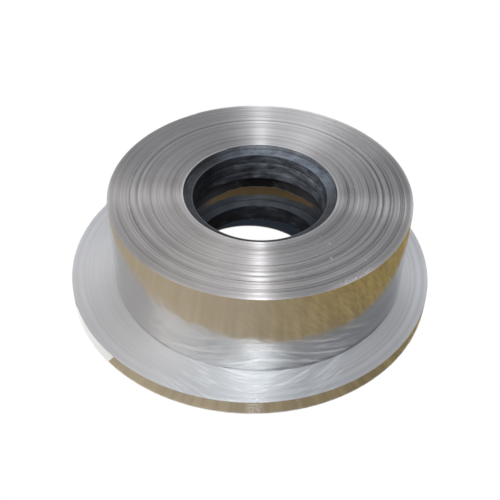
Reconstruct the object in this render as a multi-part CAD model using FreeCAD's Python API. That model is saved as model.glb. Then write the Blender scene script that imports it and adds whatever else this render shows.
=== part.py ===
# Alloy strip as raw stock: a wide strip wound into an upright coil on two rubber core rings,
# standing on a flatter and wider coil of narrow strip.
# Millimetres. +Z is up. The origin is on the floor, on the axis of the lower, flat coil.
import FreeCAD
import Part
import math
import os

# --- Wide coil: the upper one ---------------------------------------------------------------
WIDE_STRIP_WIDTH = 126.0      # the strip's width is the coil's height
WIDE_OUTER_RADIUS = 198.5
WIDE_BORE_RADIUS = 100.0
WIDE_OFFSET_X = 11.0          # the upper coil was set down a little off the lower one's axis

# --- Flat coil: the lower one ---------------------------------------------------------------
FLAT_STRIP_WIDTH = 22.5
FLAT_OUTER_RADIUS = 247.0
FLAT_BORE_RADIUS = 97.0

# --- Core rings: black rubber, left in the bore of the wide coil -----------------------------
RING_WALL = 12.0
RING_SEAT_GAP = 0.1           # radial, between a ring and the innermost turn
RING_EDGE_RADIUS = 1.5        # rounding of a ring's inner edges
TOP_RING_LENGTH = 42.0
TOP_RING_RECESS = 7.5         # how far the top ring lies below the coil's end
BOTTOM_RING_LENGTH = 27.5
RING_GROOVE_COUNT = 2         # moulded grooves around the inside of the top ring
RING_GROOVE_RADIUS = 1.2

# --- Ends of the windings --------------------------------------------------------------------
EDGE_CHAMFER = 0.4            # the outermost and innermost turns have slightly broken edges
TURN_GROOVE_DEPTH = 0.3       # groups of turns lie a little low where the winding wandered
TURN_GROOVE_WIDTH = 0.9
WIDE_TURN_GROOVES = 9
FLAT_TURN_GROOVES = 12
GROOVE_CROWDING = 1.4         # above 1, the grooves stand closer together near the outside

FLAT_AXIS = FreeCAD.Vector(0, 0, 0)
WIDE_AXIS = FreeCAD.Vector(WIDE_OFFSET_X, 0, FLAT_STRIP_WIDTH)
UP = FreeCAD.Vector(0, 0, 1)
RING_OUTER_RADIUS = WIDE_BORE_RADIUS - RING_SEAT_GAP
RING_BORE_RADIUS = WIDE_BORE_RADIUS - RING_WALL


def turned(outline, foot):
    """The solid that a closed outline of (radius, height) points sweeps about the upright axis."""
    points = [FreeCAD.Vector(radius, 0, height) for radius, height in outline]
    face = Part.Face(Part.makePolygon(points + points[:1]))
    solid = face.revolve(FreeCAD.Vector(0, 0, 0), UP, 360)
    solid.translate(foot)
    return solid


def groove_radii(bore_radius, outer_radius, count):
    """Radii of the shallow grooves between groups of turns, closer together near the outside."""
    build_up = outer_radius - bore_radius
    shares = [(k / (count + 1)) ** GROOVE_CROWDING for k in range(1, count + 1)]
    return sorted(outer_radius - build_up * share for share in shares)


def wound_coil(bore_radius, outer_radius, strip_width, grooves, foot):
    """A coil as one turned solid: a flat end below, and shallow turn grooves in the end above."""
    outline = [
        (bore_radius + EDGE_CHAMFER, 0),
        (outer_radius - EDGE_CHAMFER, 0),
        (outer_radius, EDGE_CHAMFER),
        (outer_radius, strip_width - EDGE_CHAMFER),
        (outer_radius - EDGE_CHAMFER, strip_width),
    ]
    half = TURN_GROOVE_WIDTH / 2
    for radius in reversed(groove_radii(bore_radius, outer_radius, grooves)):
        outline.append((radius + half, strip_width))
        outline.append((radius, strip_width - TURN_GROOVE_DEPTH))
        outline.append((radius - half, strip_width))
    outline.append((bore_radius + EDGE_CHAMFER, strip_width))
    outline.append((bore_radius, strip_width - EDGE_CHAMFER))
    outline.append((bore_radius, EDGE_CHAMFER))
    return turned(outline, foot)


def core_ring(length, foot, grooves):
    """A rubber ring with rounded inner edges and, if asked for, grooves around its bore."""
    tube = Part.makeCylinder(RING_OUTER_RADIUS, length)
    tube = tube.cut(Part.makeCylinder(RING_BORE_RADIUS, length))
    inner_edges = [
        edge
        for edge in tube.Edges
        if isinstance(edge.Curve, Part.Circle) and math.isclose(edge.Curve.Radius, RING_BORE_RADIUS)
    ]
    ring = tube.makeFillet(RING_EDGE_RADIUS, inner_edges)
    for k in range(1, grooves + 1):
        height = length * k / (grooves + 1)
        ring = ring.cut(
            Part.makeTorus(RING_BORE_RADIUS, RING_GROOVE_RADIUS, FreeCAD.Vector(0, 0, height), UP)
        )
    ring.translate(foot)
    return ring


def flat_coil():
    return wound_coil(
        FLAT_BORE_RADIUS, FLAT_OUTER_RADIUS, FLAT_STRIP_WIDTH, FLAT_TURN_GROOVES, FLAT_AXIS
    )


def wide_coil():
    return wound_coil(
        WIDE_BORE_RADIUS, WIDE_OUTER_RADIUS, WIDE_STRIP_WIDTH, WIDE_TURN_GROOVES, WIDE_AXIS
    )


def top_core_ring():
    height = WIDE_STRIP_WIDTH - TOP_RING_RECESS - TOP_RING_LENGTH
    return core_ring(TOP_RING_LENGTH, WIDE_AXIS + UP * height, RING_GROOVE_COUNT)


def bottom_core_ring():
    return core_ring(BOTTOM_RING_LENGTH, WIDE_AXIS, 0)


PIECES = {
    "flat_coil": flat_coil,
    "wide_coil": wide_coil,
    "top_core_ring": top_core_ring,
    "bottom_core_ring": bottom_core_ring,
}

os.makedirs("parts", exist_ok=True)
for name, make in PIECES.items():
    shape = make()
    shape.exportStep(os.path.join("parts", name + ".step"))
    box = shape.BoundBox
    print(
        f"{name}: solids {len(shape.Solids)}, valid {shape.isValid()}, "
        f"volume {shape.Volume / 1e6:.4f} litres, "
        f"Z {box.ZMin:.1f} to {box.ZMax:.1f}, width {box.XLength:.1f}"
    )
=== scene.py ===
"""Alloy strip coil: a wide strip wound upright on rubber core rings, standing on a flatter coil."""
import math

import bmesh
import bpy
from mathutils import Matrix, Vector
from mathutils.noise import fractal


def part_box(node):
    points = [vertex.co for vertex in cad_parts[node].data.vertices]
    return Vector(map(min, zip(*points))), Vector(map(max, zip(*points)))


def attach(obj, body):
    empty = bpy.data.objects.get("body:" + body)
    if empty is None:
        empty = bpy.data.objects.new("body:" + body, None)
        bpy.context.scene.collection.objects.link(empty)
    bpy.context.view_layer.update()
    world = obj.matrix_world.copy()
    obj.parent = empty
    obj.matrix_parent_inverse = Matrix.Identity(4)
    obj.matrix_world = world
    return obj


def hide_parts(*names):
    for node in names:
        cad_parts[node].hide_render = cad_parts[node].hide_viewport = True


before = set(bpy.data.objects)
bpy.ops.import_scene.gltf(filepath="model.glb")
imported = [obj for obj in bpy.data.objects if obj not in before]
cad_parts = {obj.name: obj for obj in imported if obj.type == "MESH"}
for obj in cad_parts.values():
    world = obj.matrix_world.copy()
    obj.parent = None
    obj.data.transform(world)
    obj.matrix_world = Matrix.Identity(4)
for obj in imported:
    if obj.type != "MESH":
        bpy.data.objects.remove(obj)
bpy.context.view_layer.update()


# Wide coil: one strip of tungsten-cobalt alloy, 1 mm thick and 126 mm wide, wound about a hundred
# times on core rings and stood on its end. Its slit edges make the ring-marked top. The strip was
# bright rolled, so the wall is nearly a mirror, and the tail end lies flat against the turn below.
def box_of(node):
    """A CAD node's lowest and highest corners as vectors."""
    low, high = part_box(node)
    return Vector(low), Vector(high)


millimetre = 0.001
wide_low, wide_high = box_of("wide_coil")
ring_low, ring_high = box_of("top_core_ring")
wide_axis_x = round((wide_low.x + wide_high.x) / 2.0, 4)
wide_outer_radius = (wide_high.x - wide_low.x) / 2.0
ring_outer_radius = (ring_high.x - ring_low.x) / 2.0
wide_bore_radius = ring_outer_radius + 0.1 * millimetre
wide_turns = 98
wide_pitch = (wide_outer_radius - wide_bore_radius) / (wide_turns + 1)
wide_tail = math.radians(118.0)


class Wire:
    """An output socket of a node tree. Each operator between wires and numbers adds a Math node."""

    def __init__(self, socket):
        self.socket = socket

    @staticmethod
    def add(tree, kind, settings=None, inputs=None, output=0):
        """Adds a node of any type: its settings first, then the values or wires of its sockets."""
        node = tree.nodes.new(kind)
        for name, value in (settings or {}).items():
            setattr(node, name, value)
        for key, value in (inputs or {}).items():
            if isinstance(value, Wire):
                tree.links.new(value.socket, node.inputs[key])
            else:
                node.inputs[key].default_value = value
        return Wire(node.outputs[output]) if node.outputs else node

    def math(self, operation, *others):
        """A Math node on this wire and the others."""
        values = dict(enumerate((self, *others)))
        return Wire.add(self.socket.id_data, "ShaderNodeMath", {"operation": operation}, values)

    def ramp(self, low, high):
        """Rises from 0 at the low value to 1 at the high one, and stays there."""
        return Wire.add(self.socket.id_data, "ShaderNodeMapRange", inputs={0: self, 1: low, 2: high})

    def away_from(self, middle):
        """How far a value is from a middle one, without its sign."""
        return (self - middle).math("ABSOLUTE")

    def facing(self, bearing):
        """The cosine from a bearing: 1 where an angle faces it, and -1 where it faces away."""
        return (self - bearing).math("COSINE")

    def __add__(self, other):
        return self.math("ADD", other)

    def __sub__(self, other):
        return self.math("SUBTRACT", other)

    def __rsub__(self, other):
        return (self * -1.0).math("ADD", other)

    def __mul__(self, other):
        return self.math("MULTIPLY", other)

    def __truediv__(self, other):
        return self.math("DIVIDE", other)

    __radd__ = __add__
    __rmul__ = __mul__


def axes_of(tree, vector):
    """The X, Y and Z of a vector, as three wires."""
    split = Wire.add(tree, "ShaderNodeSeparateXYZ", inputs={0: vector}).socket.node
    return [Wire(output) for output in split.outputs]


def point(tree, x, y, z):
    """A vector of three numbers or wires."""
    return Wire.add(tree, "ShaderNodeCombineXYZ", inputs={"X": x, "Y": y, "Z": z})


def point_round(tree, angle, reach, z):
    """A point at this reach from the axis. A pattern that reads it joins up after a full turn."""
    return point(tree, angle.math("COSINE") * reach, angle.math("SINE") * reach, z)


def noise(tree, scale, detail=2.0, roughness=0.5, **place):
    """Noise about 0.5: along one wire if W is given, or in space if Vector is."""
    settings = {"noise_dimensions": "1D" if "W" in place else "3D"}
    inputs = {"Scale": scale, "Detail": detail, "Roughness": roughness, **place}
    return Wire.add(tree, "ShaderNodeTexNoise", settings, inputs)


def group_input(tree, sizes):
    """Declares a geometry tree's named inputs and returns them as wires by name."""
    kinds = {float: "NodeSocketFloat", int: "NodeSocketInt", bpy.types.Material: "NodeSocketMaterial"}
    for name, value in sizes.items():
        kind = next(kinds[k] for k in kinds if isinstance(value, k))
        tree.interface.new_socket(name=name, in_out="INPUT", socket_type=kind)
    tree.interface.new_socket(name="Geometry", in_out="OUTPUT", socket_type="NodeSocketGeometry")
    node = tree.nodes.new("NodeGroupInput")
    return {name: Wire(node.outputs[name]) for name in sizes}


def new_object(name, data):
    """An object in the scene, at the origin, with this mesh, lamp or camera."""
    made = bpy.data.objects.new(name, data)
    bpy.context.scene.collection.objects.link(made)
    return made


def mesh_from_tree(name, tree, sizes):
    """Runs a geometry tree with these inputs and returns an object with the plain mesh it makes."""
    maker = new_object(name + "_maker", bpy.data.meshes.new(name + "_maker"))
    modifier = maker.modifiers.new("nodes", "NODES")
    modifier.node_group = tree
    for item in tree.interface.items_tree:
        if item.in_out == "INPUT":
            modifier[item.identifier] = sizes[item.name]
    bpy.context.view_layer.update()
    evaluated = maker.evaluated_get(bpy.context.evaluated_depsgraph_get())
    mesh = bpy.data.meshes.new_from_object(evaluated)
    maker.modifiers.remove(modifier)
    bpy.data.objects.remove(maker)
    return new_object(name, mesh)


def wound_strip_tree(sizes):
    """A coil as one closed shell: a spiral of turns with a groove between each two, both ends alike.

    The shell starts as a grid. Its X runs round the section, out over the top, down the wall and
    back under, and its Y runs once round the axis, while the section moves out by one turn."""
    tree = bpy.data.node_groups.new("wound strip", "GeometryNodeTree")
    size = group_input(tree, sizes)
    points_per_turn = 3.0
    last_on_top = size["Whole Turns"] * points_per_turn
    loop_steps = last_on_top * 2.0 + 2.0
    grid = Wire.add(
        tree,
        "GeometryNodeMeshGrid",
        inputs={
            "Size X": loop_steps,
            "Size Y": size["Steps per Turn"],
            "Vertices X": loop_steps + 1.0,
            "Vertices Y": size["Steps per Turn"] + 1.0,
        },
    )
    grid_x, grid_y, _ = axes_of(tree, Wire.add(tree, "GeometryNodeInputPosition"))
    loop = (grid_x + loop_steps / 2.0).math("ROUND")
    station = (grid_y + size["Steps per Turn"] / 2.0).math("ROUND") / size["Steps per Turn"]

    # The place across the section: whole turns, then groove bottom, near edge or far edge.
    going_out = loop.math("LESS_THAN", last_on_top + 0.5)
    closing = loop.math("GREATER_THAN", loop_steps - 0.5)
    coming_back = (loop_steps - 1.0 - loop).math("MAXIMUM", 0.0)
    across = going_out * loop + (1.0 - going_out) * coming_back
    whole = (across / points_per_turn + 0.01).math("FLOOR")
    corner = across - whole * points_per_turn
    in_groove = corner.math("LESS_THAN", 0.5)
    far_edge = corner.math("GREATER_THAN", 1.5)
    half_groove = size["Groove Share"] / 2.0
    share = (1.0 - in_groove) * half_groove + far_edge * (1.0 - size["Groove Share"])
    turn = whole + station
    radius = size["Bore Radius"] + (turn + share) * size["Turn Pitch"]
    angle = station * math.tau + size["Tail Angle"]

    # Each turn sits a little higher or lower than the next, and groups of turns wander together.
    single = noise(tree, 1.0, detail=1.0, roughness=0.6, W=turn * 0.5 + size["Seed"])
    group = noise(tree, 1.0, detail=1.0, roughness=0.5, W=turn * 0.11 + size["Seed"] * 2.0)
    low = (single * 0.12 + group).ramp(0.30, 0.80)
    groove_drop = in_groove * size["Groove Depth"]
    top = size["Height"] - low * size["Wander"] - groove_drop
    bottom = (1.0 - low) * size["Wander"] + groove_drop
    on_top = going_out + closing
    height = on_top * top + (1.0 - on_top) * bottom + size["Foot"]
    x = radius * angle.math("COSINE") + size["Axis X"]
    spot = point(tree, x, radius * angle.math("SINE"), height)

    # The grid's points go to their places. Two seams are welded: where the section closes on itself,
    # and where each turn runs on into the next.
    numbered = Wire.add(
        tree,
        "GeometryNodeStoreNamedAttribute",
        {"data_type": "FLOAT", "domain": "POINT"},
        {"Geometry": grid, "Name": "turn", "Value": turn + share},
    )
    moved = {"Geometry": numbered, "Position": spot}
    wound = Wire.add(tree, "GeometryNodeSetPosition", inputs=moved)
    weld_distance = 0.002 * millimetre
    welded = {"Geometry": wound, "Distance": weld_distance}
    joined = Wire.add(tree, "GeometryNodeMergeByDistance", inputs=welded)
    smooth = Wire.add(tree, "GeometryNodeSetShadeSmooth", inputs={"Geometry": joined})
    real = Wire.add(tree, "GeometryNodeRealizeInstances", inputs={"Geometry": smooth})

    # Faces that look sideways are the rolled face, and the rest are slit edges.
    steepest_wall = 0.3
    _, _, upright = axes_of(tree, Wire.add(tree, "GeometryNodeInputNormal"))
    on_wall = upright.math("ABSOLUTE").math("LESS_THAN", steepest_wall)
    slit = {"Geometry": real, "Material": size["Slit Edge"]}
    edges = Wire.add(tree, "GeometryNodeSetMaterial", inputs=slit)
    rolled = {"Geometry": edges, "Selection": on_wall, "Material": size["Rolled Face"]}
    faces = Wire.add(tree, "GeometryNodeSetMaterial", inputs=rolled)
    Wire.add(tree, "NodeGroupOutput", inputs={"Geometry": faces})
    return tree


def wind_coil(name, sizes):
    """A wound coil as a piece: the tree's shell, with the strip's two cut ends closed.

    Its shading breaks between wall and edges and at the cut ends' corners, which are about square.
    The grooves, whose bottoms fold by less than the limit, stay smooth."""
    piece = mesh_from_tree(name, wound_strip_tree(sizes), sizes)
    face_slot = list(piece.data.materials).index(sizes["Rolled Face"])
    fold_limit = math.radians(60.0)
    shell = bmesh.new()
    shell.from_mesh(piece.data)
    open_edges = [edge for edge in shell.edges if edge.is_boundary]
    bmesh.ops.holes_fill(shell, edges=open_edges, sides=0)
    bmesh.ops.recalc_face_normals(shell, faces=shell.faces)
    for face in shell.faces:
        face.material_index = 1 if face.material_index == face_slot else 0
    for edge in shell.edges:
        one_material = len({face.material_index for face in edge.link_faces}) == 1
        edge.smooth = one_material and edge.calc_face_angle(0.0) < fold_limit
    piece.data.materials.clear()
    for material in (sizes["Slit Edge"], sizes["Rolled Face"]):
        piece.data.materials.append(material)
    shell.to_mesh(piece.data)
    shell.free()
    return piece


def object_place(tree):
    """Object coordinates, which are metres in the frame."""
    return Wire.add(tree, "ShaderNodeTexCoord", output=3)


def coil_coordinates(tree, axis_x):
    """Wires for the radius, the angle about a coil's axis and the height, in metres and radians."""
    centring = {0: object_place(tree), 1: (-axis_x, 0.0, 0.0)}
    x, y, z = axes_of(tree, Wire.add(tree, "ShaderNodeMapping", inputs=centring))
    return (x * x + y * y).math("SQRT"), y.math("ARCTAN2", x), z


def mix_colours(tree, factor, first, second):
    """Goes from the first colour to the second. Each is a wire, or its red, green and blue."""
    first, second = (c if isinstance(c, Wire) else (*c, 1.0) for c in (first, second))
    settings = {"data_type": "RGBA"}
    return Wire.add(tree, "ShaderNodeMix", settings, {0: factor, 6: first, 7: second}, output=2)


def bump(tree, height, distance, strength):
    """A surface that stands out where the height is 1, by this distance in metres."""
    inputs = {"Strength": strength, "Distance": distance, "Height": height}
    return Wire.add(tree, "ShaderNodeBump", inputs=inputs)


def new_material(name):
    """A material with an empty tree, and that tree."""
    material = bpy.data.materials.new(name)
    material.use_nodes = True
    material.node_tree.nodes.clear()
    return material, material.node_tree


def finish_material(tree, **sockets):
    """Adds the Principled shader with these sockets, an underscore standing for a space."""
    inputs = {name.replace("_", " "): value for name, value in sockets.items()}
    shader = Wire.add(tree, "ShaderNodeBsdfPrincipled", inputs=inputs)
    Wire.add(tree, "ShaderNodeOutputMaterial", inputs={"Surface": shader})


# Bearings about a coil's axis, from +X. The materials give all bearings in radians.
front = math.radians(-88.0)
front_right = math.radians(-40.0)
front_left = math.radians(-135.0)
back = math.radians(90.0)


def light_streak_mask(tree, angle, radius, across):
    """Painted streaks of light over the front: a mask of long strokes that bend at the middle.

    Away from it, on both sides, they run lower on a wall, where height is what lies across them,
    and inward on an end, where the radius is."""
    slope = 0.36
    softened_bend = 0.00025
    full_within, gone_by = 0.06, 0.17
    along = (angle - front) * radius
    aside = (along * along + softened_bend).math("SQRT")
    stroke = point(tree, (across + aside * slope) * 170.0, aside * 15.0, along * 12.0)
    streaks = noise(tree, 1.0, detail=3.0, roughness=0.65, Vector=stroke).ramp(0.47, 0.66)
    return streaks * aside.ramp(gone_by, full_within)


def slit_edge_material(
    name, axis_x, rims, dark, light, base_roughness, metallic, contrast, painted_front_streaks, directed
):
    """The stacked slit edges of a coil: each turn has its own shade, and fine rings run round.

    The rims are the bore's radius and the outer one. Painted front streaks grey the front, lay
    painted streaks of light and a broad painted highlight over it, and leave out the burr glints and
    edge highlights."""
    clearest_rings, burred, specked = -0.6, -0.96, -0.5
    painted_warm_light = (0.74, 0.67, 0.63)
    burr_glint_white = (0.95, 0.95, 0.97)
    front_grey = (0.49, 0.52, 0.57)
    streak_light_white = (0.90, 0.96, 1.0)
    material, tree = new_material(name)
    radius, angle, _ = coil_coordinates(tree, axis_x)
    bore, outer = rims
    turn = Wire.add(tree, "ShaderNodeAttribute", {"attribute_name": "turn"}, output=2)

    # Bands of turns and single rings differ in tone, with a dark gap here and there.
    bands = noise(tree, 0.10, detail=2.0, roughness=0.55, W=turn + 40.0)
    rings = noise(tree, 0.24, detail=1.5, roughness=0.6, W=turn)
    gap = noise(tree, 0.22, detail=0.0, W=turn + 90.0).away_from(0.5).ramp(0.05, 0.0)
    broken = noise(tree, 0.7, detail=1.0, Vector=point_round(tree, angle, 1.0, turn * 0.21))
    gap = gap * broken.ramp(0.30, 0.60)
    uneven = contrast * (0.75 + 0.35 * angle.facing(clearest_rings).ramp(-0.3, 0.8))
    tone = 0.55 + ((bands - 0.5) * 1.1 + (rings - 0.5) * 1.5 - gap * 0.35) * uneven
    tone = tone.ramp(0.0, 1.0)
    colour = mix_colours(tree, tone, dark, light)
    # Painted warm light: the side that faces the front-left lamp is tinted warm.
    warm_light_side = angle.facing(front_left).ramp(0.3, 1.0)
    colour = mix_colours(tree, warm_light_side * 0.28, colour, painted_warm_light)

    # Bright burrs near the rim on one side and a few specks, painted white as glints, and painted
    # highlights along the first and last turns.
    burr_place = point_round(tree, angle, 90.0, turn * 0.8)
    burr_glint = noise(tree, 1.0, detail=2.0, Vector=burr_place).ramp(0.50, 0.58)
    burr_glint = burr_glint * radius.ramp(outer - 9.0 * millimetre, outer - 5.0 * millimetre)
    burr_glint = burr_glint * angle.away_from(burred).ramp(0.22, 0.10)
    speck_glint = noise(tree, 130.0, detail=1.0, Vector=object_place(tree)).ramp(0.76, 0.78) * 0.5
    burr_glint = burr_glint.math("MAXIMUM", speck_glint * angle.away_from(specked).ramp(0.7, 0.5))
    bore_edge_highlight = radius.ramp(bore + 2.4 * millimetre, bore + 1.2 * millimetre)
    rim_edge_highlight = radius.ramp(outer - 2.2 * millimetre, outer - 1.2 * millimetre)
    bright = (burr_glint + bore_edge_highlight * 0.7 + rim_edge_highlight * 0.35).ramp(0.0, 1.0) * (1.0 - painted_front_streaks)
    colour = mix_colours(tree, bright, colour, burr_glint_white)

    # Greyer at the front but for the last turn, with painted streaks of light over a broad painted
    # highlight.
    greyer_front = radius.ramp(outer, outer - 1.0 * millimetre) * angle.away_from(front).ramp(0.7, 0.3)
    colour = mix_colours(tree, greyer_front * (0.45 * painted_front_streaks), colour, front_grey)
    front_highlight = angle.away_from(math.radians(-100.0)).ramp(0.9, 0.3) * 0.22
    streak_light = light_streak_mask(tree, angle, radius, radius).math("MAXIMUM", front_highlight) * painted_front_streaks
    colour = mix_colours(tree, streak_light, colour, streak_light_white)
    fine = noise(tree, 900.0, detail=2.0, roughness=0.6, W=radius)
    finish_material(
        tree,
        Base_Color=colour,
        Metallic=metallic - streak_light * 0.3 - bright * 0.6,
        Roughness=base_roughness + (tone - 0.5) * 0.16 + streak_light * 0.08 + bright * 0.15,
        Anisotropic=directed,
        Anisotropic_Rotation=0.25,
        Normal=bump(tree, fine * 0.3 + rings * 0.7, distance=0.5 * millimetre, strength=0.8),
    )
    return material


def rolled_face_material(name, axis_x, colour, base_roughness, wide_only):
    """The bright rolled face of the strip: faint rolling lines along it and a slight waviness.

    A wide_only of 1 adds the wide coil's marks: a dark band with a ragged edge in the bore under the
    upper core ring, and painted streaks of light low on the wall. At 0 a painted glint goes on the
    rim."""
    painted_shade_grey = (0.37, 0.37, 0.38)
    band_grey = (0.07, 0.07, 0.08)
    band_black = (0.006, 0.006, 0.007)
    streak_white = (1.0, 1.0, 1.0)
    rim_glint_white = (0.95, 0.96, 1.0)
    foot_shadow_grey = (0.16, 0.16, 0.18)
    material, tree = new_material(name)
    radius, angle, height = coil_coordinates(tree, axis_x)
    above_foot = height - wide_low.z
    side = point_round(tree, angle, 1.0, height * 5.0)
    film = noise(tree, 4.0, detail=4.0, roughness=0.6, Vector=side)
    clean = mix_colours(tree, film, [0.88 * c for c in colour], [1.08 * c for c in colour])

    # Painted shade greys the front-right side of the wall, and its upper part is mottled on a slant.
    painted_shade_side = angle.facing(front_right).ramp(0.45, 0.95)
    slant = point(tree, angle * 40.0 + height * 150.0, height * 60.0, angle * 3.0)
    mottled = noise(tree, 1.0, detail=3.0, roughness=0.6, Vector=slant).ramp(0.40, 0.66)
    mottled = mottled * above_foot.ramp(45.0 * millimetre, 75.0 * millimetre)
    clean = mix_colours(tree, painted_shade_side * (0.80 - mottled * 0.36), clean, painted_shade_grey)

    # The dark band starts at a ragged edge below the upper ring and ends behind the ring. It is black
    # towards the back and grey towards the sides.
    ragged = noise(tree, 6.0, detail=4.0, roughness=0.7, Vector=side)
    middle = angle.away_from(back).ramp(0.75, 0.25)
    edge_height = 51.5 * millimetre + middle * (3.5 * millimetre) - ragged * (6.0 * millimetre)
    dark_band = (above_foot - edge_height).ramp(-0.6 * millimetre, 0.6 * millimetre)
    dark_band = dark_band * height.ramp(ring_high.z - 15.0 * millimetre, ring_high.z - 21.0 * millimetre)
    bore_wall = radius.ramp(wide_bore_radius + 2.0 * millimetre, wide_bore_radius + 1.0 * millimetre)
    dark_band = dark_band * bore_wall * wide_only
    dark_band_colour = mix_colours(tree, middle * ragged.ramp(0.3, 0.5), band_grey, band_black)

    # On the wide coil painted streaks of light low on the wall, on the flat one a whitish patch at
    # the front painted as a glint, and a broken dark line at the foot that is painted contact shadow.
    strokes = light_streak_mask(tree, angle, radius, height)
    strokes = strokes * above_foot.ramp(60.0 * millimetre, 40.0 * millimetre) * wide_only
    clean = mix_colours(tree, strokes * 0.85, clean, streak_white)
    # Painted glint: a whitish patch at the front of the flat coil's rim.
    painted_rim_glint = noise(tree, 60.0, detail=3.0, roughness=0.7, Vector=side).ramp(0.36, 0.66)
    painted_rim_glint = painted_rim_glint * angle.away_from(front).ramp(0.055, 0.02) * (0.6 * (1.0 - wide_only))
    clean = mix_colours(tree, painted_rim_glint, clean, rim_glint_white)
    # Painted contact shadow: a broken dark line at the foot, higher on the painted-shade side.
    foot = above_foot - film * (2.0 * millimetre + painted_shade_side * (7.0 * millimetre))
    foot = foot.ramp(2.2 * millimetre, 0.6 * millimetre) * above_foot.ramp(-1.0 * millimetre, 0.0)
    clean = mix_colours(tree, foot * film.ramp(0.35, 0.6) * 0.6, clean, foot_shadow_grey)
    lines = noise(tree, 900.0, detail=3.0, roughness=0.7, W=height)
    waves = noise(tree, 7.0, detail=1.5, roughness=0.5, Vector=side)
    relief = waves + lines * 0.02 + strokes * 0.22
    finish_material(
        tree,
        Base_Color=mix_colours(tree, dark_band, clean, dark_band_colour),
        Metallic=1.0 - dark_band * 0.9 - strokes * 0.2 - painted_rim_glint * 0.8,
        Roughness=base_roughness + film * 0.07 + dark_band * 0.45 + strokes * 0.1,
        Normal=bump(tree, relief, distance=1.2 * millimetre, strength=0.5),
    )
    return material


wide_edge = slit_edge_material(
    "strip_edges_wide",
    wide_axis_x,
    (wide_bore_radius, wide_outer_radius),
    dark=(0.32, 0.315, 0.325),
    light=(0.80, 0.79, 0.81),
    base_roughness=0.325,
    metallic=1.0,
    contrast=1.0,
    painted_front_streaks=0.0,
    directed=1.0,
)
wide_face = rolled_face_material(
    "strip_face_wide", wide_axis_x, colour=(0.74, 0.73, 0.71), base_roughness=0.095, wide_only=1.0
)
wide_sizes = {
    "Whole Turns": wide_turns,
    "Steps per Turn": 128,
    "Bore Radius": wide_bore_radius,
    "Turn Pitch": wide_pitch,
    "Groove Share": 0.24,
    "Groove Depth": 0.04 * millimetre,
    "Wander": 0.15 * millimetre,
    "Height": wide_high.z - wide_low.z,
    "Foot": wide_low.z,
    "Axis X": wide_axis_x,
    "Tail Angle": wide_tail,
    "Seed": 3.7,
    "Slit Edge": wide_edge,
    "Rolled Face": wide_face,
}
wound_wide_strip = wind_coil("wound_wide_strip", wide_sizes)
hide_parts("wide_coil")
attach(wound_wide_strip, "root")


# Core rings: two hoops of black rubber that the wide strip was wound on. The upper one has two
# moulded grooves round its inside, and both are scuffed grey and white where mandrels went through.
ring_wall = 12.0 * millimetre
bottom_low, bottom_high = box_of("bottom_core_ring")


def rubber_material(name, top_height, wear_and_sheen, lit_side, gloss):
    """Black rubber with a near-black top face under a painted blue-grey sheen, and a wrinkled inside
    with scuffs.

    The lit side is the bearing that the painted sheen faces, and wear_and_sheen sets how much
    rubbing, sheen and lip highlight there is."""
    fresh_black = (0.010, 0.0105, 0.014)
    rubbed_grey = (0.13, 0.15, 0.18)
    scuff_grey = (0.27, 0.29, 0.33)
    face_black = (0.016, 0.019, 0.026)
    sheen_blue = (0.27, 0.32, 0.40)
    blotch_black = (0.045, 0.050, 0.062)
    lip_highlight_grey = (0.20, 0.23, 0.27)
    material, tree = new_material(name)
    radius, angle, height = coil_coordinates(tree, wide_axis_x)
    around = point_round(tree, angle, 3.0, height * 90.0)
    wrinkle = noise(tree, 1.3, detail=7.0, roughness=0.72, Vector=around)
    rub = noise(tree, 0.6, detail=3.0, roughness=0.6, Vector=around)
    right_side = angle.facing(0.7).ramp(-0.2, 1.0) * wear_and_sheen
    rubbed = right_side * (wrinkle.ramp(0.34, 0.60) * 1.1 + 0.1)
    inside = mix_colours(tree, rubbed, fresh_black, rubbed_grey)
    scuff = wrinkle.ramp(0.50, 0.64) * rub.ramp(0.42, 0.58) * (right_side + 0.10)
    inside = mix_colours(tree, scuff, inside, scuff_grey)

    # The top face: a painted blue-grey sheen towards the lit side, turned rings, blotches that break
    # the sheen, and a painted highlight along the inner lip.
    rings = noise(tree, 700.0, detail=2.0, roughness=0.6, W=radius)
    painted_sheen = angle.facing(lit_side).ramp(0.3, 1.0) * wear_and_sheen
    face = mix_colours(tree, painted_sheen + (rings - 0.5) * 0.5, face_black, sheen_blue)
    blotch = noise(tree, 70.0, detail=4.0, roughness=0.6, Vector=object_place(tree))
    face = mix_colours(tree, blotch.ramp(0.44, 0.60) * 0.6, face, blotch_black)
    lip = radius.ramp(ring_outer_radius - 10.0 * millimetre, ring_outer_radius - 11.4 * millimetre)
    face = mix_colours(tree, lip * (0.35 * wear_and_sheen), face, lip_highlight_grey)
    on_top = height.ramp(top_height - 1.2 * millimetre, top_height - 0.6 * millimetre)
    grain = noise(tree, 700.0, detail=3.0, roughness=0.6, Vector=object_place(tree))
    finish_material(
        tree,
        Base_Color=mix_colours(tree, on_top, inside, face),
        Roughness=0.42 + scuff * 0.3,
        Specular_IOR_Level=gloss,
        Normal=bump(tree, grain * 0.12 + wrinkle, distance=1.6 * millimetre, strength=0.8),
    )
    return material


def hoop_section(height, grooves):
    """A hoop's section as pairs, how far in from the outside and how far up from the foot.

    It runs up the outside, in over the top and down the inside, where the grooves are."""
    groove_depth = 1.3 * millimetre
    groove_half_width = 1.1 * millimetre
    section = [(0.0, 0.8 * millimetre), (0.0, height - 0.2 * millimetre), (0.2 * millimetre, height)]
    section += [(ring_wall * share, height) for share in (0.25, 0.5, 0.75, 0.88)]
    section.append((ring_wall - 0.6 * millimetre, height - 0.2 * millimetre))
    section.append((ring_wall - 0.1 * millimetre, height - 0.9 * millimetre))
    inside_steps = int(height / (1.2 * millimetre))
    for step in range(inside_steps):
        up = (height - 2.0 * millimetre) * (1.0 - step / inside_steps) + 0.4 * millimetre
        cut = sum(math.exp(-(((up - groove) / groove_half_width) ** 2)) for groove in grooves)
        section.append((ring_wall - groove_depth * cut, up))
    return section + [(ring_wall - 1.2 * millimetre, 0.0), (0.8 * millimetre, 0.0)]


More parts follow.
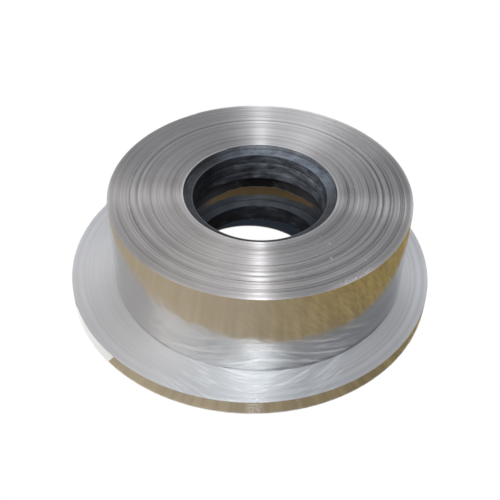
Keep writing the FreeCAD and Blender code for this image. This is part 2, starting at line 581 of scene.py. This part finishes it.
def moulded_ring(name, node, grooves, material):
    """A turned hoop in the place of a CAD ring: rounded inner lip, and grooves at these heights.

    Its outside follows the strip's first turn, whose inner end has pressed a step into it."""
    low, high = box_of(node)
    height = high.z - low.z
    section = hoop_section(height, grooves)
    wrinkle_depth = 0.5 * millimetre
    steps_round = 144
    ring = bmesh.new()
    loops = []
    for k in range(steps_round):
        angle = math.tau * k / steps_round
        loop = []
        for inward, up in section:
            reach = ring_outer_radius - inward
            if inward < 1.0 * millimetre:
                reach += wide_pitch * ((angle - wide_tail) % math.tau) / math.tau
            elif inward > ring_wall * 0.85 and 1.0 * millimetre < up < height - 1.0 * millimetre:
                place = Vector((math.cos(angle) * 4.0, math.sin(angle) * 4.0, (up + low.z) * 110.0))
                reach -= wrinkle_depth * min(0.0, fractal(place, 0.6, 2.0, 3))
            spot = (wide_axis_x + reach * math.cos(angle), reach * math.sin(angle), low.z + up)
            loop.append(ring.verts.new(spot))
        loops.append(loop)
    for k, loop in enumerate(loops):
        following = loops[(k + 1) % steps_round]
        for j in range(len(section)):
            m = (j + 1) % len(section)
            ring.faces.new((loop[j], loop[m], following[m], following[j])).smooth = True
    bmesh.ops.recalc_face_normals(ring, faces=ring.faces)
    mesh = bpy.data.meshes.new(name)
    ring.to_mesh(mesh)
    ring.free()
    mesh.materials.append(material)
    piece = new_object(name, mesh)
    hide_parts(node)
    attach(piece, "root")


upper_rubber = rubber_material("core_rubber_upper", ring_high.z, wear_and_sheen=1.0, lit_side=1.05, gloss=0.5)
lower_rubber = rubber_material(
    "core_rubber_lower", bottom_high.z, wear_and_sheen=0.3, lit_side=1.57, gloss=0.2
)
upper_grooves = (12.5 * millimetre, 27.5 * millimetre)
moulded_ring("upper_core_hoop", "top_core_ring", upper_grooves, upper_rubber)
moulded_ring("lower_core_hoop", "bottom_core_ring", (), lower_rubber)


# Flat coil: a second strip, 22.5 mm wide, wound flat to nearly half a metre. The wide coil stands
# on it. Its edges are brighter than the wide coil's, and painted streaks of light cross them at the
# front.
flat_low, flat_high = box_of("flat_coil")
flat_outer_radius = (flat_high.x - flat_low.x) / 2.0
flat_bore_radius = 97.0 * millimetre
flat_turns = 124
flat_edge = slit_edge_material(
    "strip_edges_flat",
    0.0,
    (flat_bore_radius, flat_outer_radius),
    dark=(0.76, 0.78, 0.82),
    light=(0.93, 0.955, 1.0),
    base_roughness=0.46,
    metallic=0.56,
    contrast=0.75,
    painted_front_streaks=1.0,
    directed=0.8,
)
flat_face = rolled_face_material(
    "strip_face_flat", 0.0, colour=(0.72, 0.71, 0.69), base_roughness=0.10, wide_only=0.0
)
flat_sizes = {
    **wide_sizes,
    "Whole Turns": flat_turns,
    "Bore Radius": flat_bore_radius,
    "Turn Pitch": (flat_outer_radius - flat_bore_radius) / (flat_turns + 1),
    "Height": flat_high.z - flat_low.z,
    "Foot": flat_low.z,
    "Axis X": 0.0,
    "Tail Angle": math.radians(152.0),
    "Seed": 11.2,
    "Slit Edge": flat_edge,
    "Rolled Face": flat_face,
}
wound_flat_strip = wind_coil("wound_flat_strip", flat_sizes)
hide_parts("flat_coil")
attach(wound_flat_strip, "root")


# Studio: a pale floor, a tan board that shows only in the bright metal, nine soft lamps and the
# camera, which looks down at the coils from the front.
def flat_sheet(name, outlines, height, material):
    """A flat stage piece of one or more outlines, facing up."""
    sheet = bmesh.new()
    for outline in outlines:
        sheet.faces.new([sheet.verts.new((x, y, height)) for x, y in outline])
    mesh = bpy.data.meshes.new(name)
    sheet.to_mesh(mesh)
    sheet.free()
    mesh.materials.append(material)
    piece = new_object(name, mesh)
    return piece


def seen_ray(tree):
    """1 where the camera sees the stage, directly or in metal, and 0 where the stage only lights."""
    path = tree.nodes.new("ShaderNodeLightPath")
    seen = Wire(path.outputs["Is Camera Ray"])
    for kind in ("Is Glossy Ray", "Is Transmission Ray"):
        seen = seen.math("MAXIMUM", Wire(path.outputs[kind]))
    return seen


def floor_material():
    """Pale floor. Seen directly or in metal it is lifted to white, and it still takes shadows."""
    material, tree = new_material("floor_white")
    lift = 0.95
    matt = Wire.add(tree, "ShaderNodeBsdfDiffuse", inputs={"Color": (0.80, 0.80, 0.80, 1.0)})
    glow = {"Color": (1.0, 1.0, 1.0, 1.0), "Strength": 1.04}
    white = Wire.add(tree, "ShaderNodeEmission", inputs=glow)
    lifted = {0: seen_ray(tree) * lift, 1: matt, 2: white}
    mixed = Wire.add(tree, "ShaderNodeMixShader", inputs=lifted)
    Wire.add(tree, "ShaderNodeOutputMaterial", inputs={"Surface": mixed})
    return material


def board_material():
    """Tan board with straight grain, paler on the left where the window light lies on it.

    Inside the coils' bore only its middle catches any light, and the rest is in deep shade."""
    material, tree = new_material("tan_board")
    x, y, _ = axes_of(tree, object_place(tree))
    reach = (x * x + y * y).math("SQRT")
    grain_place = point_round(tree, y.math("ARCTAN2", x), 26.0, reach * 9.0)
    grain = noise(tree, 1.0, detail=4.0, roughness=0.65, Vector=grain_place).ramp(0.3, 0.7)
    to_the_right = x.ramp(-0.03, 0.27)
    pale = mix_colours(tree, to_the_right, (0.70, 0.60, 0.44), (0.86, 0.65, 0.27))
    dark = mix_colours(tree, to_the_right, (0.56, 0.47, 0.34), (0.46, 0.345, 0.145))
    colour = mix_colours(tree, grain, pale, dark)
    # Painted shade: the board is darker further from the coil.
    colour = mix_colours(tree, reach.ramp(0.26, 0.46) * 0.45, colour, dark)
    shade = reach.ramp(0.069, 0.074)
    bore_colour = mix_colours(tree, shade, (0.34, 0.235, 0.12), (0.07, 0.088, 0.118))
    colour = mix_colours(tree, reach.ramp(0.20, 0.19), colour, bore_colour)
    matt = Wire.add(tree, "ShaderNodeBsdfDiffuse", inputs={"Color": colour})
    Wire.add(tree, "ShaderNodeOutputMaterial", inputs={"Surface": matt})
    return material


floor_half = 6.0
floor_corners = [(x * floor_half, y * floor_half) for x, y in ((-1, -1), (1, -1), (1, 1), (-1, 1))]
flat_sheet("floor", [floor_corners], 0.0, floor_material())


def arc(radius, start, end, steps):
    """Points on a circle about the origin, between two bearings in degrees."""
    angles = [math.radians(start + (end - start) * k / steps) for k in range(steps + 1)]
    return [(radius * math.cos(a), radius * math.sin(a)) for a in angles]


board_clearance = 0.3 * millimetre
board_reach = 5.9


def board_part(start, end, inner):
    """A part of the board round the coil, between two bearings in degrees."""
    return arc(board_reach, start, end, 36) + arc(inner, end, start, 36)


# The board comes close to the coil, but on the left it stops short and leaves white floor there.
board_outlines = [
    arc(flat_bore_radius - board_clearance, 0.0, 355.0, 71),
    board_part(-136.5, 60.0, flat_outer_radius + board_clearance),
    board_part(60.0, 198.0, flat_outer_radius + board_clearance),
    board_part(198.0, 223.5, flat_outer_radius + 16.0 * millimetre),
]
board = flat_sheet("tan_board", board_outlines, 0.2 * millimetre, board_material())
board.visible_camera = False
board.visible_diffuse = False
board.visible_transmission = False
board.visible_shadow = False


def soft_lamp(
    name, azimuth, elevation, brightness, width=0.58, height=0.58, distance=2.2, tint=(1.0, 1.0, 1.0)
):
    """An area lamp on a sphere round the coil's middle, turned to it. Brightness is its radiance."""
    a, e = math.radians(azimuth), math.radians(elevation)
    aim = Vector((wide_axis_x, 0.0, wide_high.z))
    towards = Vector((math.cos(e) * math.cos(a), math.cos(e) * math.sin(a), math.sin(e)))
    light = bpy.data.lights.new(name, "AREA")
    light.shape = "RECTANGLE"
    light.size = width
    light.size_y = height
    light.energy = brightness * math.pi * width * height
    light.color = tint
    lamp = new_object(name, light)
    lamp.location = aim + towards * distance
    lamp.rotation_euler = towards.to_track_quat("Z", "Y").to_euler()


# Each lamp has its bearing and elevation in degrees, its radiance, and its size in metres.
bluish, pinkish = (0.965, 0.985, 1.0), (1.0, 0.945, 0.91)
soft_lamp("flash", -89.0, 50.0, brightness=76.0, width=0.077, height=1.0, tint=bluish)
soft_lamp("front", -97.0, 42.0, brightness=1.6, width=1.0, height=0.7)
soft_lamp("ceiling", 100.0, 66.0, brightness=1.8)
soft_lamp("far_window_right", 77.0, 25.0, brightness=1.2)
soft_lamp("far_window", 94.0, 25.0, brightness=0.65, width=1.39, height=0.86, distance=2.25)
soft_lamp("far_window_left", 129.0, 25.0, brightness=1.95)
soft_lamp("front_left", -146.0, 25.0, brightness=3.0, width=1.39, height=0.86, tint=pinkish)
soft_lamp("far_low", 86.0, 12.0, brightness=2.0)
soft_lamp("right_low", 39.0, 12.0, brightness=4.0)

world = bpy.data.worlds.new("studio")
bpy.context.scene.world = world
world.use_nodes = True
sky = world.node_tree
sky.nodes.clear()
_, _, upward = axes_of(sky, object_place(sky))
pale = seen_ray(sky) * upward.ramp(0.20, 0.15)
sky_colour = mix_colours(sky, pale, (0.20, 0.20, 0.205), (1.0, 1.0, 1.0))
background = Wire.add(sky, "ShaderNodeBackground", inputs={"Color": sky_colour, "Strength": 1.0})
Wire.add(sky, "ShaderNodeOutputWorld", inputs={"Surface": background})

view_elevation = math.radians(42.74)
view_roll = math.radians(1.24)
view_distance = 1.2517
view_centre = Vector((-0.0004, 0.0458, 0.0))
lens = bpy.data.cameras.new("camera")
lens.sensor_width = 36.0
lens.lens = 61.84
camera = new_object("camera", lens)
away = Vector((0.0, -math.cos(view_elevation), math.sin(view_elevation)))
tilt = Matrix.Rotation(math.pi / 2.0 - view_elevation, 4, "X") @ Matrix.Rotation(view_roll, 4, "Z")
camera.matrix_world = Matrix.Translation(view_centre + away * view_distance) @ tilt
bpy.context.scene.camera = camera
bpy.context.scene.view_settings.view_transform = "Standard"
